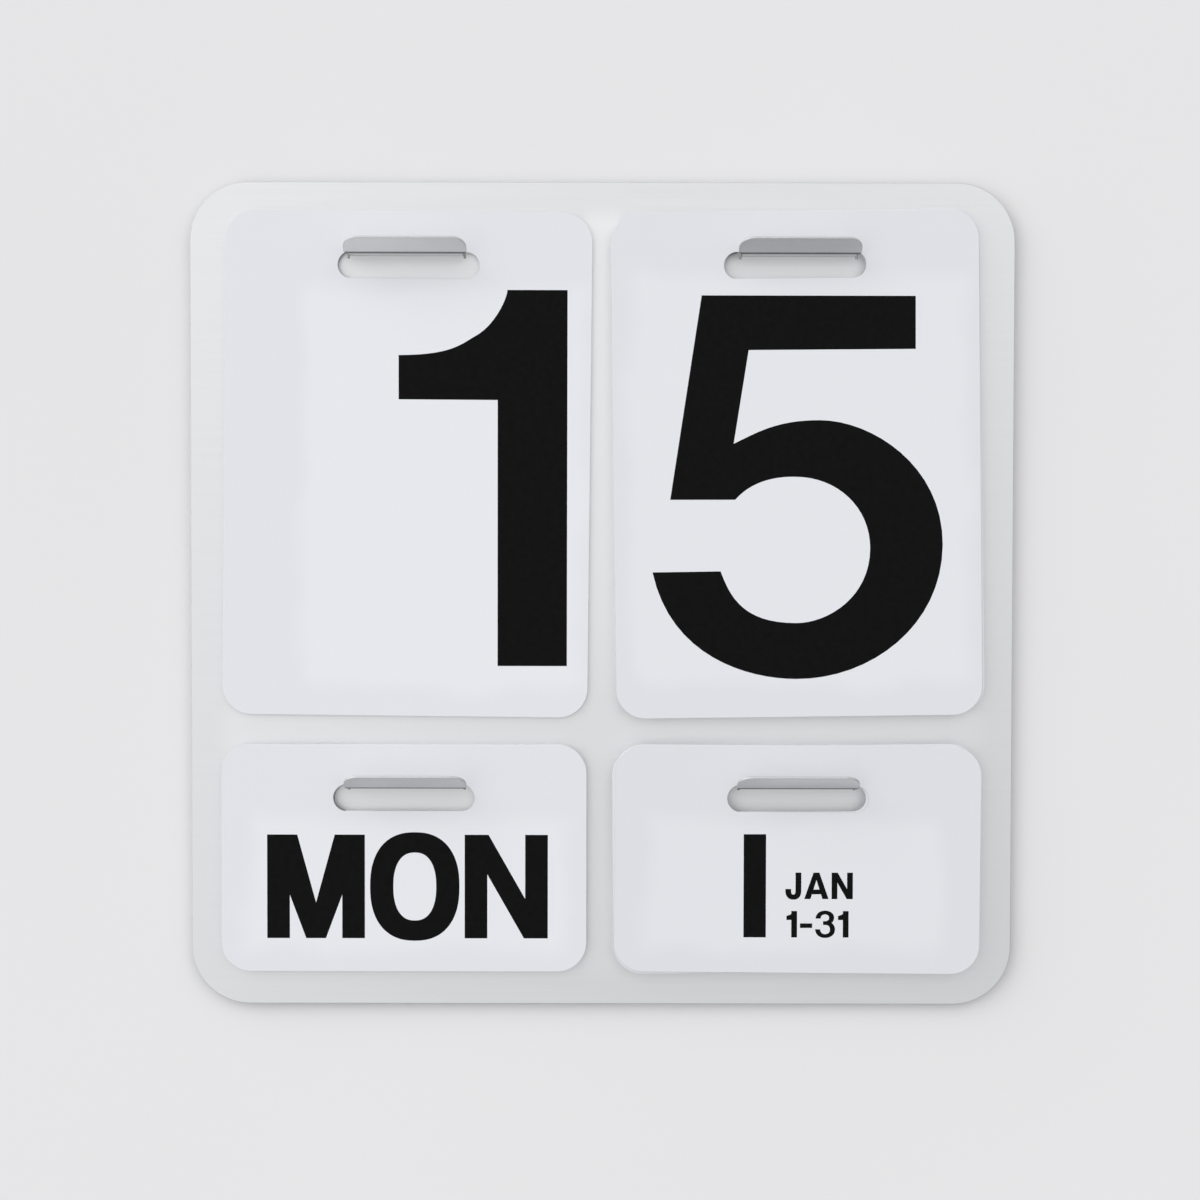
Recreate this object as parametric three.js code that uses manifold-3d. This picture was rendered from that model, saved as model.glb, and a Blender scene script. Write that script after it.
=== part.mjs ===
// Perpetual wall calendar: a square sheet-metal back plate with four hooks pressed out of the sheet, and four
// packs of slotted plastic cards that hang on them (tens, units, weekday, month).
// Millimetres, +Z up, front facing -Y. The wall is the plane y = 0 and the origin is on it, behind the plate's centre.
import * as THREE from "three";
import { mergeVertices } from "three/addons/utils/BufferGeometryUtils.js";
import Module from "manifold-3d";

// ---------- driving dimensions ----------
const PLATE_SIZE = 310; // square back plate, side
const PLATE_CORNER_R = 22;
const SHEET = 1.0; // thickness of the plate's sheet, hooks included
const WALL_GAP = 3.0; // plate's back to the wall, set by the bumpers

const HOOK_X = 73.6; // hook centres, left and right of the plate's centre
const HOOK_Z_UPPER = 128.4; // top of the upper hooks' shelves
const HOOK_Z_LOWER = -71.6; // top of the lower hooks' shelves
const HOOK_REACH = 6.6; // plate's front to the fold between shelf and lip
const LIP_LENGTH = 8.7; // fold to the lip's edge, along the lip
const LIP_LEAN = 56.6; // degrees from upright, leaning forward
const LIP_HALF_W = 22.9;
const SHELF_HALF_W = 21.6;
const LIP_CORNER_R = 5.5;
const BEND_R = 0.5; // inner radius of both folds
const KERF = 0.5; // between a hook's blank and the window that it leaves in the plate
const WINDOW_TOP = 14.7; // above the shelf's top
const WINDOW_BOTTOM = -1.9;
const WINDOW_STEP = 5.6; // where the window widens, as the blank does from shelf to lip

const CARD_W = 137.5;
const CARD_H_UPPER = 189.4; // tens and units
const CARD_H_LOWER = 85.8; // weekday and month
const CARD_CORNER_R = 11;
const CARD_T = 0.3;
const CARD_PITCH = 0.4; // from one card's face to the next one's in a pack
const FIRST_CARD = 0.3; // plate's front to the rearmost card
const SLOT_W = 53.2;
const SLOT_H = 10;
const SLOT_BELOW_TOP = 15.1; // card's top edge to the slot's top edge
const SLOT_REST = 0.06; // slot's edge above the shelf, where it bears

const BUMPER_R = 6;
const BUMPER_AT = 134; // from the plate's centre, in x and in z
const BRACKET_W = 64;
const BRACKET_H = 26;
const BRACKET_T = 1.0;
const BRACKET_Z0 = 104; // lower edge
const BRACKET_FACE = -0.2; // wall side of its raised middle
const KEYHOLE_R = 4.5; // entry hole
const KEYHOLE_SLOT = 4.6; // width of the neck
const KEYHOLE_Z = 112; // centre of the entry hole
const KEYHOLE_RISE = 9;

// Packs, rearmost card first: [node name, shift to the right, turn to the left in degrees]. The shift is of the slot's
// centre from the hook's, the turn is as seen from the front, and both are the play of a card that was hung by hand.
const PACKS = [
  {
    x: -HOOK_X,
    z: HOOK_Z_UPPER,
    h: CARD_H_UPPER,
    cards: [
      ["tens_card_blank", 0.85, -0.47],
      ["tens_card_3", 0.95, -0.5],
      ["tens_card_2", 0.9, -0.49],
      ["tens_card_1", 1.0, -0.53],
    ],
  },
  {
    x: HOOK_X,
    z: HOOK_Z_UPPER,
    h: CARD_H_UPPER,
    cards: [
      ["units_card_4", -1.35, 0.7],
      ["units_card_3", -1.5, 0.78],
      ["units_card_2", -1.4, 0.73],
      ["units_card_1", -1.55, 0.81],
      ["units_card_0", -1.45, 0.77],
      ["units_card_9", -1.5, 0.76],
      ["units_card_8", -1.6, 0.8],
      ["units_card_7", -1.45, 0.79],
      ["units_card_6", -1.35, 1.02],
      ["units_card_5", -1.62, 0.8],
    ],
  },
  {
    x: -HOOK_X,
    z: HOOK_Z_LOWER,
    h: CARD_H_LOWER,
    cards: [
      ["weekday_card_7", -0.7, 0.08],
      ["weekday_card_6", -0.85, -0.03],
      ["weekday_card_5", -0.75, 0.05],
      ["weekday_card_4", -0.8, -0.06],
      ["weekday_card_3", -0.9, 0.02],
      ["weekday_card_2", -0.8, 0.1],
      ["weekday_card_1", -0.85, 0.0],
    ],
  },
  {
    x: HOOK_X,
    z: HOOK_Z_LOWER,
    h: CARD_H_LOWER,
    cards: [
      ["month_card_12", -0.2, 0.1],
      ["month_card_11", -0.1, -0.12],
      ["month_card_10", -0.3, 0.2],
      ["month_card_09", -0.15, 0.02],
      ["month_card_08", -0.35, 0.24],
      ["month_card_07", -0.05, -0.1],
      ["month_card_06", -0.25, 0.14],
      ["month_card_05", 0.0, -0.16],
      ["month_card_04", -0.3, 0.26],
      ["month_card_03", -0.1, 0.05],
      ["month_card_02", -0.8, 0.55],
      ["month_card_01", 0.35, -0.36],
    ],
  },
];

// ---------- materials ----------
const material = (color, roughness, metalness) =>
  new THREE.MeshStandardMaterial({ color, roughness, metalness });
const anodised = () => material(0xd6d9db, 0.38, 0.85);
const cardWhite = () => material(0xe9eaee, 0.5, 0);
const clearRubber = () => material(0xc9cccc, 0.6, 0);
const zincSteel = () => material(0xb4b8ba, 0.4, 0.9);

// ---------- helpers ----------
const wasm = await Module();
wasm.setup();

function toSolid(geometry) {
  const g = geometry.index ? geometry.toNonIndexed() : geometry.clone();
  g.deleteAttribute("normal");
  g.deleteAttribute("uv");
  const m = mergeVertices(g, 1e-5);
  return new wasm.Manifold(
    new wasm.Mesh({
      numProp: 3,
      vertProperties: new Float32Array(m.attributes.position.array),
      triVerts: new Uint32Array(m.index.array),
    }),
  );
}

function toGeometry(solid) {
  const m = solid.getMesh();
  const g = new THREE.BufferGeometry();
  g.setAttribute("position", new THREE.BufferAttribute(new Float32Array(m.vertProperties), 3));
  g.setIndex(new THREE.BufferAttribute(new Uint32Array(m.triVerts), 1));
  const flat = g.toNonIndexed();
  flat.computeVertexNormals();
  return flat;
}

const root = new THREE.Group();
function add(name, geometry, mat) {
  const mesh = new THREE.Mesh(geometry, mat);
  mesh.name = name;
  root.add(mesh);
  return mesh;
}

const rad = THREE.MathUtils.degToRad;

// A closed outline from points and corner arcs: each item is [x, y, r], r the rounding of that corner.
function roundedOutline(corners, segments) {
  const pts = [];
  const n = corners.length;
  corners.forEach(([x, y, r], i) => {
    if (!r) {
      pts.push(new THREE.Vector2(x, y));
      return;
    }
    const p = new THREE.Vector2(x, y);
    const a = new THREE.Vector2(...corners[(i + n - 1) % n].slice(0, 2)).sub(p).normalize();
    const b = new THREE.Vector2(...corners[(i + 1) % n].slice(0, 2)).sub(p).normalize();
    const half = Math.acos(THREE.MathUtils.clamp(a.dot(b), -1, 1)) / 2;
    const centre = p.clone().add(a.clone().add(b).normalize().multiplyScalar(r / Math.sin(half)));
    const start = p.clone().add(a.clone().multiplyScalar(r / Math.tan(half)));
    const end = p.clone().add(b.clone().multiplyScalar(r / Math.tan(half)));
    const a0 = Math.atan2(start.y - centre.y, start.x - centre.x);
    let sweep = Math.atan2(end.y - centre.y, end.x - centre.x) - a0;
    while (sweep > Math.PI) sweep -= 2 * Math.PI;
    while (sweep < -Math.PI) sweep += 2 * Math.PI;
    for (let k = 0; k <= segments; k++) {
      const t = a0 + (sweep * k) / segments;
      pts.push(new THREE.Vector2(centre.x + r * Math.cos(t), centre.y + r * Math.sin(t)));
    }
  });
  return pts;
}

function box2(x0, x1, y0, y1, r) {
  return [
    [x0, y0, r],
    [x1, y0, r],
    [x1, y1, r],
    [x0, y1, r],
  ];
}

// An outline drawn in x and z, as a slab from y = yBack forward by its thickness.
function slabXZ(shape, yBack, thickness) {
  const g = new THREE.ExtrudeGeometry(shape, { depth: thickness, bevelEnabled: false });
  g.rotateX(Math.PI / 2);
  g.translate(0, yBack, 0);
  return g;
}

// ---------- back plate with its four hooks ----------
const PLATE_BACK = -WALL_GAP;
const PLATE_FRONT = PLATE_BACK - SHEET;

// Side section of one hook: [forward of the plate's front, above the shelf's top].
function hookSection() {
  const lean = rad(LIP_LEAN);
  const u = [Math.sin(lean), Math.cos(lean)]; // along the lip
  const n = [-Math.cos(lean), Math.sin(lean)]; // lip's inner side
  const fold = Math.PI / 2 - lean; // turn from shelf to lip
  const outer = BEND_R + SHEET;
  const pts = [];
  const arc = (cx, cy, r, a0, a1, k) => {
    for (let i = 0; i <= k; i++) {
      const a = a0 + ((a1 - a0) * i) / k;
      pts.push(new THREE.Vector2(cx + r * Math.cos(a), cy + r * Math.sin(a)));
    }
  };
  // under side, from the plate outwards
  pts.push(new THREE.Vector2(-SHEET, -4));
  pts.push(new THREE.Vector2(0, -4));
  arc(BEND_R, -SHEET - BEND_R, BEND_R, Math.PI, Math.PI / 2, 5);
  const back = outer * Math.tan(fold / 2);
  arc(HOOK_REACH - back, -SHEET + outer, outer, -Math.PI / 2, -Math.PI / 2 + fold, 5);
  const tip = [HOOK_REACH + LIP_LENGTH * u[0], -SHEET + LIP_LENGTH * u[1]];
  pts.push(new THREE.Vector2(tip[0], tip[1]));
  // inner side, back to the plate
  pts.push(new THREE.Vector2(tip[0] + SHEET * n[0], tip[1] + SHEET * n[1]));
  arc(HOOK_REACH - back, -SHEET + outer, BEND_R, -Math.PI / 2 + fold, -Math.PI / 2, 4);
  arc(BEND_R, -SHEET - BEND_R, outer, Math.PI / 2, Math.PI, 7);
  return new THREE.Shape(pts);
}

function hookSolid(hx, hz) {
  const lean = rad(LIP_LEAN);
  const strip = new THREE.ExtrudeGeometry(hookSection(), { depth: 2 * LIP_HALF_W, bevelEnabled: false });
  strip.applyMatrix4(
    new THREE.Matrix4().makeBasis(
      new THREE.Vector3(0, -1, 0),
      new THREE.Vector3(0, 0, 1),
      new THREE.Vector3(-1, 0, 0),
    ),
  );
  strip.translate(hx + LIP_HALF_W, PLATE_FRONT, hz);
  // blank's outline, seen square to the lip: rounded end, and narrower at the shelf
  const outline = roundedOutline(
    [
      [-SHELF_HALF_W, -30, 0],
      [SHELF_HALF_W, -30, 0],
      [SHELF_HALF_W, -0.6, 0],
      [LIP_HALF_W - 0.5, 0.5, 0],
      [LIP_HALF_W, 2.4, 0],
      [LIP_HALF_W, LIP_LENGTH, LIP_CORNER_R],
      [-LIP_HALF_W, LIP_LENGTH, LIP_CORNER_R],
      [-LIP_HALF_W, 2.4, 0],
      [-LIP_HALF_W + 0.5, 0.5, 0],
      [-SHELF_HALF_W, -0.6, 0],
    ],
    9,
  );
  const blank = new THREE.ExtrudeGeometry(new THREE.Shape(outline), { depth: 60, bevelEnabled: false });
  blank.translate(0, 0, -30);
  blank.applyMatrix4(
    new THREE.Matrix4().makeBasis(
      new THREE.Vector3(1, 0, 0),
      new THREE.Vector3(0, -Math.sin(lean), Math.cos(lean)),
      new THREE.Vector3(0, -Math.cos(lean), -Math.sin(lean)),
    ),
  );
  blank.translate(hx, PLATE_FRONT - HOOK_REACH, hz - SHEET);
  return toSolid(strip).intersect(toSolid(blank));
}

function backPlate() {
  const half = PLATE_SIZE / 2;
  const shape = new THREE.Shape(roundedOutline(box2(-half, half, -half, half, PLATE_CORNER_R), 14));
  let solid = toSolid(slabXZ(shape, PLATE_BACK, SHEET));
  for (const hx of [-HOOK_X, HOOK_X])
    for (const hz of [HOOK_Z_UPPER, HOOK_Z_LOWER]) {
      const narrow = SHELF_HALF_W + KERF;
      const wide = LIP_HALF_W + KERF;
      const w = roundedOutline(
        [
          [hx - narrow, hz + WINDOW_BOTTOM, 0],
          [hx + narrow, hz + WINDOW_BOTTOM, 0],
          [hx + narrow, hz + WINDOW_STEP, 0],
          [hx + wide, hz + WINDOW_STEP + 2.6, 0],
          [hx + wide, hz + WINDOW_TOP, LIP_CORNER_R + KERF],
          [hx - wide, hz + WINDOW_TOP, LIP_CORNER_R + KERF],
          [hx - wide, hz + WINDOW_STEP + 2.6, 0],
          [hx - narrow, hz + WINDOW_STEP, 0],
        ],
        6,
      );
      solid = solid.subtract(toSolid(slabXZ(new THREE.Shape(w), PLATE_BACK + 5, SHEET + 10)));
      solid = solid.add(hookSolid(hx, hz));
    }
  return toGeometry(solid);
}
add("back_plate", backPlate(), anodised());

// ---------- cards ----------
// Drawn about the middle of the slot's top edge, which is what hangs on the shelf.
function cardShape(height) {
  const top = SLOT_BELOW_TOP;
  const shape = new THREE.Shape(
    roundedOutline(box2(-CARD_W / 2, CARD_W / 2, top - height, top, CARD_CORNER_R), 7),
  );
  const slot = roundedOutline(box2(-SLOT_W / 2, SLOT_W / 2, -SLOT_H, 0, SLOT_H / 2 - 1e-4), 6);
  shape.holes.push(new THREE.Path(slot));
  return shape;
}

// How far above the shelf a shifted and turned card's slot edge sits at its middle, so that it bears on the shelf.
function hangHeight(shift, turn) {
  const r = SLOT_H / 2;
  const straight = SLOT_W / 2 - r;
  let rise = 0;
  for (let i = 0; i <= 40; i++) {
    const x = -SHELF_HALF_W + (2 * SHELF_HALF_W * i) / 40 - shift;
    const past = Math.max(0, Math.abs(x) - straight);
    const drop = r - Math.sqrt(r * r - past * past);
    rise = Math.max(rise, drop - x * Math.tan(rad(turn)));
  }
  return rise + SLOT_REST;
}

for (const pack of PACKS)
  pack.cards.forEach(([name, shift, turn], i) => {
    const back = PLATE_FRONT - FIRST_CARD - i * CARD_PITCH;
    const mesh = add(name, slabXZ(cardShape(pack.h), 0, CARD_T), cardWhite());
    mesh.position.set(pack.x + shift, back, pack.z + hangHeight(shift, turn));
    mesh.rotation.y = -rad(turn);
  });

// ---------- behind the plate ----------
function bumper() {
  const profile = [
    [0, -WALL_GAP],
    [BUMPER_R, -WALL_GAP],
    [BUMPER_R, -0.8],
    [BUMPER_R - 0.25, -0.3],
    [BUMPER_R - 0.8, 0],
    [0, 0],
  ].map(([r, y]) => new THREE.Vector2(r, y));
  return new THREE.LatheGeometry(profile, 28);
}
for (const [name, sx, sz] of [
  ["bumper_top_left", -1, 1],
  ["bumper_top_right", 1, 1],
  ["bumper_bottom_left", -1, -1],
  ["bumper_bottom_right", 1, -1],
])
  add(name, bumper(), clearRubber()).position.set(sx * BUMPER_AT, 0, sz * BUMPER_AT);

// Hat-shaped strip: two feet bonded to the plate's back and a raised middle with a keyhole for one wall screw.
function hangerBracket() {
  const foot = PLATE_BACK;
  const rise = BRACKET_FACE - BRACKET_T - foot; // hollow behind the raised middle
  const mid = 18.2;
  const w = BRACKET_W / 2;
  const section = [
    [-w, foot],
    [-(mid + rise), foot],
    [-mid, foot + rise],
    [mid, foot + rise],
    [mid + rise, foot],
    [w, foot],
    [w, foot + BRACKET_T],
    [mid + rise + 0.4, foot + BRACKET_T],
    [mid + 0.4, BRACKET_FACE],
    [-(mid + 0.4), BRACKET_FACE],
    [-(mid + rise + 0.4), foot + BRACKET_T],
    [-w, foot + BRACKET_T],
  ].map(([x, y]) => new THREE.Vector2(x, y));
  const strip = new THREE.ExtrudeGeometry(new THREE.Shape(section), { depth: BRACKET_H, bevelEnabled: false });
  strip.translate(0, 0, BRACKET_Z0);
  const k = [];
  const neck = KEYHOLE_SLOT / 2;
  const a0 = Math.acos(neck / KEYHOLE_R); // where the neck meets the entry hole
  for (let i = 0; i <= 20; i++) {
    const a = a0 - ((2 * a0 + Math.PI) * i) / 20;
    k.push(new THREE.Vector2(KEYHOLE_R * Math.cos(a), KEYHOLE_Z + KEYHOLE_R * Math.sin(a)));
  }
  for (let i = 0; i <= 8; i++) {
    const a = Math.PI - (Math.PI * i) / 8;
    k.push(new THREE.Vector2(neck * Math.cos(a), KEYHOLE_Z + KEYHOLE_RISE + neck * Math.sin(a)));
  }
  return toGeometry(toSolid(strip).subtract(toSolid(slabXZ(new THREE.Shape(k), 5, 7.9))));
}
add("hanger_bracket", hangerBracket(), zincSteel());

export default root;
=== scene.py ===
import math

import bpy
import numpy as np
from mathutils import Matrix, Vector
from mathutils.geometry import delaunay_2d_cdt


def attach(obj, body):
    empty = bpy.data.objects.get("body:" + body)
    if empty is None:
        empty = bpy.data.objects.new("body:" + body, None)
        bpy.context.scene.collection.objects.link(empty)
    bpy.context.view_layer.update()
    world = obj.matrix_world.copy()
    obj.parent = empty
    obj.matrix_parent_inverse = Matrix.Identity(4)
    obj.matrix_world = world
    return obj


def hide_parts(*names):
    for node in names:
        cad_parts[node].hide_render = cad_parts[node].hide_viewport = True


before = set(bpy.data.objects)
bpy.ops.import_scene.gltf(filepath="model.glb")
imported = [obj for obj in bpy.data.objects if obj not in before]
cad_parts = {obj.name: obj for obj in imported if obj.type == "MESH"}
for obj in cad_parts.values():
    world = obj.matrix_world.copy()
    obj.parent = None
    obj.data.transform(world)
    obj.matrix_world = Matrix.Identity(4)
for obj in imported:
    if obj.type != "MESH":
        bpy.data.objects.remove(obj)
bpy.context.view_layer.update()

MM = 0.001

# ---------------------------------------------------------------- dimensions, as in the CAD
PLATE_SIZE, PLATE_CORNER_R, SHEET, WALL_GAP = 310.0, 22.0, 1.0, 3.0
HOOK_X, HOOK_Z_UPPER, HOOK_Z_LOWER = 73.6, 128.4, -71.6
HOOK_REACH, LIP_LENGTH, LIP_LEAN = 6.6, 8.7, 56.6
LIP_HALF_W, SHELF_HALF_W, LIP_CORNER_R, BEND_R, KERF = 22.9, 21.6, 5.5, 0.5, 0.5
WINDOW_TOP, WINDOW_BOTTOM, WINDOW_STEP = 14.7, -1.9, 5.6
CARD_W, CARD_H_UPPER, CARD_H_LOWER, CARD_CORNER_R = 137.5, 189.4, 85.8, 11.0
CARD_T, CARD_PITCH, FIRST_CARD = 0.3, 0.4, 0.3
SLOT_W, SLOT_H, SLOT_BELOW_TOP, SLOT_REST = 53.2, 10.0, 15.1, 0.06
BUMPER_R, BUMPER_AT = 6.0, 134.0
BRACKET_W, BRACKET_H, BRACKET_T, BRACKET_Z0, BRACKET_FACE = 64.0, 26.0, 1.0, 104.0, -0.2
KEYHOLE_R, KEYHOLE_SLOT, KEYHOLE_Z, KEYHOLE_RISE = 4.5, 4.6, 112.0, 9.0

# rearmost card first: name, shift to the right, turn to the left in degrees
PACKS = {
    "tens": (-HOOK_X, HOOK_Z_UPPER, CARD_H_UPPER, [
        ("tens_card_blank", 0.85, -0.47), ("tens_card_3", 0.95, -0.5), ("tens_card_2", 0.9, -0.49), ("tens_card_1", 1.0, -0.53)]),
    "units": (HOOK_X, HOOK_Z_UPPER, CARD_H_UPPER, [
        ("units_card_4", -1.35, 0.7), ("units_card_3", -1.5, 0.78), ("units_card_2", -1.4, 0.73), ("units_card_1", -1.55, 0.81),
        ("units_card_0", -1.45, 0.77), ("units_card_9", -1.5, 0.76), ("units_card_8", -1.6, 0.8), ("units_card_7", -1.45, 0.79),
        ("units_card_6", -1.35, 1.02), ("units_card_5", -1.62, 0.8)]),
    "weekday": (-HOOK_X, HOOK_Z_LOWER, CARD_H_LOWER, [
        ("weekday_card_7", -0.7, 0.08), ("weekday_card_6", -0.85, -0.03), ("weekday_card_5", -0.75, 0.05), ("weekday_card_4", -0.8, -0.06),
        ("weekday_card_3", -0.9, 0.02), ("weekday_card_2", -0.8, 0.1), ("weekday_card_1", -0.85, 0.0)]),
    "month": (HOOK_X, HOOK_Z_LOWER, CARD_H_LOWER, [
        ("month_card_12", -0.2, 0.1), ("month_card_11", -0.1, -0.12), ("month_card_10", -0.3, 0.2), ("month_card_09", -0.15, 0.02),
        ("month_card_08", -0.35, 0.24), ("month_card_07", -0.05, -0.1), ("month_card_06", -0.25, 0.14), ("month_card_05", 0.0, -0.16),
        ("month_card_04", -0.3, 0.26), ("month_card_03", -0.1, 0.05), ("month_card_02", -0.8, 0.55), ("month_card_01", 0.35, -0.36)]),
}

# ---------------------------------------------------------------- camera, at the photograph's viewing angle
def make_camera():
    yaw, pitch, roll = math.radians(0.047), math.radians(1.477), math.radians(-0.105)
    forward = Vector((math.sin(yaw) * math.cos(pitch), math.cos(yaw) * math.cos(pitch), -math.sin(pitch)))
    r0 = Vector((math.cos(yaw), -math.sin(yaw), 0))
    u0 = r0.cross(forward)
    right = r0 * math.cos(roll) - u0 * math.sin(roll)
    up = r0 * math.sin(roll) + u0 * math.cos(roll)
    data = bpy.data.cameras.new("camera")
    data.sensor_width, data.lens = 36.0, 63.63
    data.clip_start, data.clip_end = 0.01, 50
    cam = bpy.data.objects.new("camera", data)
    bpy.context.scene.collection.objects.link(cam)
    m = Matrix.Identity(4)
    for i in range(3):
        m[i][0], m[i][1], m[i][2] = right[i], up[i], -forward[i]
    m.translation = Vector((-0.0014, -0.804, 0.01876))
    cam.matrix_world = m
    bpy.context.scene.camera = cam


make_camera()

# ---------------------------------------------------------------- outlines
def arc(cx, cy, r, a0, a1, n):
    """Points of an arc, angles in degrees, both ends included."""
    return [(cx + r * math.cos(math.radians(a0 + (a1 - a0) * i / n)), cy + r * math.sin(math.radians(a0 + (a1 - a0) * i / n))) for i in range(n + 1)]


def rounded_box(x0, x1, y0, y1, r, n):
    return arc(x1 - r, y0 + r, r, -90, 0, n) + arc(x1 - r, y1 - r, r, 0, 90, n) + arc(x0 + r, y1 - r, r, 90, 180, n) + arc(x0 + r, y0 + r, r, 180, 270, n)


def no_repeats(pts):
    out = []
    for p in pts:
        if not out or math.hypot(p[0] - out[-1][0], p[1] - out[-1][1]) > 1e-4:
            out.append(p)
    if math.hypot(out[0][0] - out[-1][0], out[0][1] - out[-1][1]) < 1e-4:
        out.pop()
    return out


def left_normals(loop):
    e = np.roll(loop, -1, 0) - loop
    e /= np.linalg.norm(e, axis=1)[:, None]
    n = np.stack([-e[:, 1], e[:, 0]], 1)
    return np.roll(n, 1, 0), n


def inset(loop, d):
    a, b = left_normals(loop)
    return loop + d * (a + b) / (1 + (a * b).sum(1))[:, None]


def winding(poly, pts):
    a = np.asarray(poly, float)
    b = np.roll(a, -1, 0)
    x, y = pts[:, 0][:, None], pts[:, 1][:, None]
    side = (b[:, 0] - a[:, 0]) * (y - a[:, 1]) - (x - a[:, 0]) * (b[:, 1] - a[:, 1])
    up = (a[:, 1] <= y) & (b[:, 1] > y) & (side > 0)
    down = (a[:, 1] > y) & (b[:, 1] <= y) & (side < 0)
    return up.sum(1) - down.sum(1)


def covered(groups, pts):
    """Which points are in a print: each group is a list of outlines to fill, "+", or to cut away, "-"."""
    out = np.zeros(len(pts), bool)
    for steps in groups:
        g = np.zeros(len(pts), bool)
        for sign, poly in steps:
            w = winding(poly, pts) != 0
            g = (g | w) if sign == "+" else (g & ~w)
        out |= g
    return out


# ---------------------------------------------------------------- a sheet with rounded edges, bent by a mapping
def triangulate(loops, rows, prints):
    """The flat face inside the loops. Returns its points, triangles with print or no print, and where each loop's points are."""
    pts, edges, where = [], [], []
    for loop in loops:
        base = len(pts)
        pts += [tuple(p) for p in loop]
        edges += [(base + i, base + (i + 1) % len(loop)) for i in range(len(loop))]
        where.append(range(base, base + len(loop)))
    for (l0, i0), (l1, i1) in rows:
        edges.append((where[l0][i0], where[l1][i1]))
    for steps in prints:
        for _, poly in steps:
            base = len(pts)
            pts += [tuple(p) for p in poly]
            edges += [(base + i, base + (i + 1) % len(poly)) for i in range(len(poly))]
    v, _, f, source, _, _ = delaunay_2d_cdt([Vector(p) for p in pts], edges, [], 0, 1e-5, True)
    at = {}
    for k, ids in enumerate(source):
        for i in ids:
            at[i] = k
    v = np.array([(p.x, p.y) for p in v])
    f = np.array([list(t) for t in f])
    mid = v[f].mean(1)
    keep = winding(loops[0], mid) != 0
    for loop in loops[1:]:
        keep &= winding(loop, mid) == 0
    f, mid = f[keep], mid[keep]
    a, b, c = v[f[:, 0]], v[f[:, 1]], v[f[:, 2]]
    flip = ((b - a)[:, 0] * (c - a)[:, 1] - (b - a)[:, 1] * (c - a)[:, 0]) < 0
    f[flip] = f[flip][:, ::-1]
    ink = covered(prints, mid) if prints else np.zeros(len(f), bool)
    return v, f, ink, [[at[i] for i in w] for w in where]


# The third place is for painted shade: the dark line along the hooks' folds and the cards' slot ends.
FACE, CUT, PAINTED_SHADE, INKED = 0, 1, 2, 3  # places of a sheet's materials


def sheet(name, loops, thickness, edge, place, tags=None, rows=(), prints=(), rounds=3, rim=CUT, folds=None, sides=None):
    """One closed sheet. loops run with the material on their left, seen from the sheet's face. place maps arrays of
    (point, depth below the face, tag) to positions and to the directions of the sheet's own two axes and its face.
    folds tells from the middles of the face's triangles and their tags which of them are on the outside of a fold,
    where they get painted shade. sides tells from a loop's number, points and tags which of its sides get painted
    shade; the others have the rim's material."""
    loops = [np.array(loop, float) for loop in loops]
    tags = tags or [np.zeros(len(loop), int) for loop in loops]
    inner = [inset(loop, edge) for loop in loops]
    flat_tags = np.concatenate(tags)
    co, no, faces, mats = [], [], [], []
    count = 0

    def put(points, depth, tag, out=None, angle=0.0, back=False):
        """Vertices at one depth. out is the outward direction in the sheet, and angle how far the normal turns to it."""
        nonlocal count
        p, u, v, n = place(np.asarray(points, float), depth, np.asarray(tag))
        face = -n if back else n
        if out is None:
            nn = face
        else:
            o = u * out[:, :1] + v * out[:, 1:]
            nn = face * math.cos(angle) + o * math.sin(angle)
        co.append(p)
        no.append(nn)
        count += len(p)
        return count - len(p)

    ends = []
    for back in (False, True):
        v, f, ink, where = triangulate(inner, rows, [] if back else prints)
        tag = np.zeros(len(v), int)
        i = 0
        for w in where:
            for k in w:
                tag[k] = flat_tags[i]
                i += 1
        base = put(v, thickness if back else 0.0, tag, back=back)
        faces += [tuple(base + k for k in (t[::-1] if back else t)) for t in f]
        # Faces on the outside of a fold get painted shade.
        if folds and not back:
            mats += [PAINTED_SHADE if x else FACE for x in folds(v[f].mean(1), tag[f].min(1))]
        else:
            mats += [INKED if x else FACE for x in ink]
        ends.append([[base + k for k in w] for w in where])
    for li, loop in enumerate(loops):
        a, b = left_normals(loop)
        out = -(a + b)
        out /= np.linalg.norm(out, axis=1)[:, None]
        rings = [ends[0][li]]
        for back in (False, True):
            for j in range(1, rounds + 1):
                step = j if not back else rounds + 1 - j
                t = math.pi / 2 * step / rounds
                d = edge * (1 - math.cos(t))
                base = put(inset(loop, edge * (1 - math.sin(t))), thickness - d if back else d, tags[li], out, t, back)
                rings.append(list(range(base, base + len(loop))))
        rings.append(ends[1][li])
        n = len(loop)
        # The rim faces that sides picks get painted shade.
        worn = sides(li, loop, tags[li]) if sides else [False] * n
        for r0, r1 in zip(rings, rings[1:]):
            for i in range(n):
                k = (i + 1) % n
                faces.append((r0[i], r1[i], r1[k], r0[k]))
                mats.append(PAINTED_SHADE if worn[i] else rim)
    mesh = bpy.data.meshes.new(name)
    mesh.from_pydata((np.concatenate(co) * MM).tolist(), [], faces)
    mesh.polygons.foreach_set("material_index", mats)
    mesh.polygons.foreach_set("use_smooth", [True] * len(mesh.polygons))
    mesh.update()
    normals = np.concatenate(no)
    normals /= np.linalg.norm(normals, axis=1)[:, None]
    mesh.normals_split_custom_set_from_vertices(normals.tolist())
    obj = bpy.data.objects.new(name, mesh)
    bpy.context.scene.collection.objects.link(obj)
    return obj


def axes(n, u, v, w):
    return tuple(np.tile(np.array(a, float), (n, 1)) for a in (u, v, w))


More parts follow.
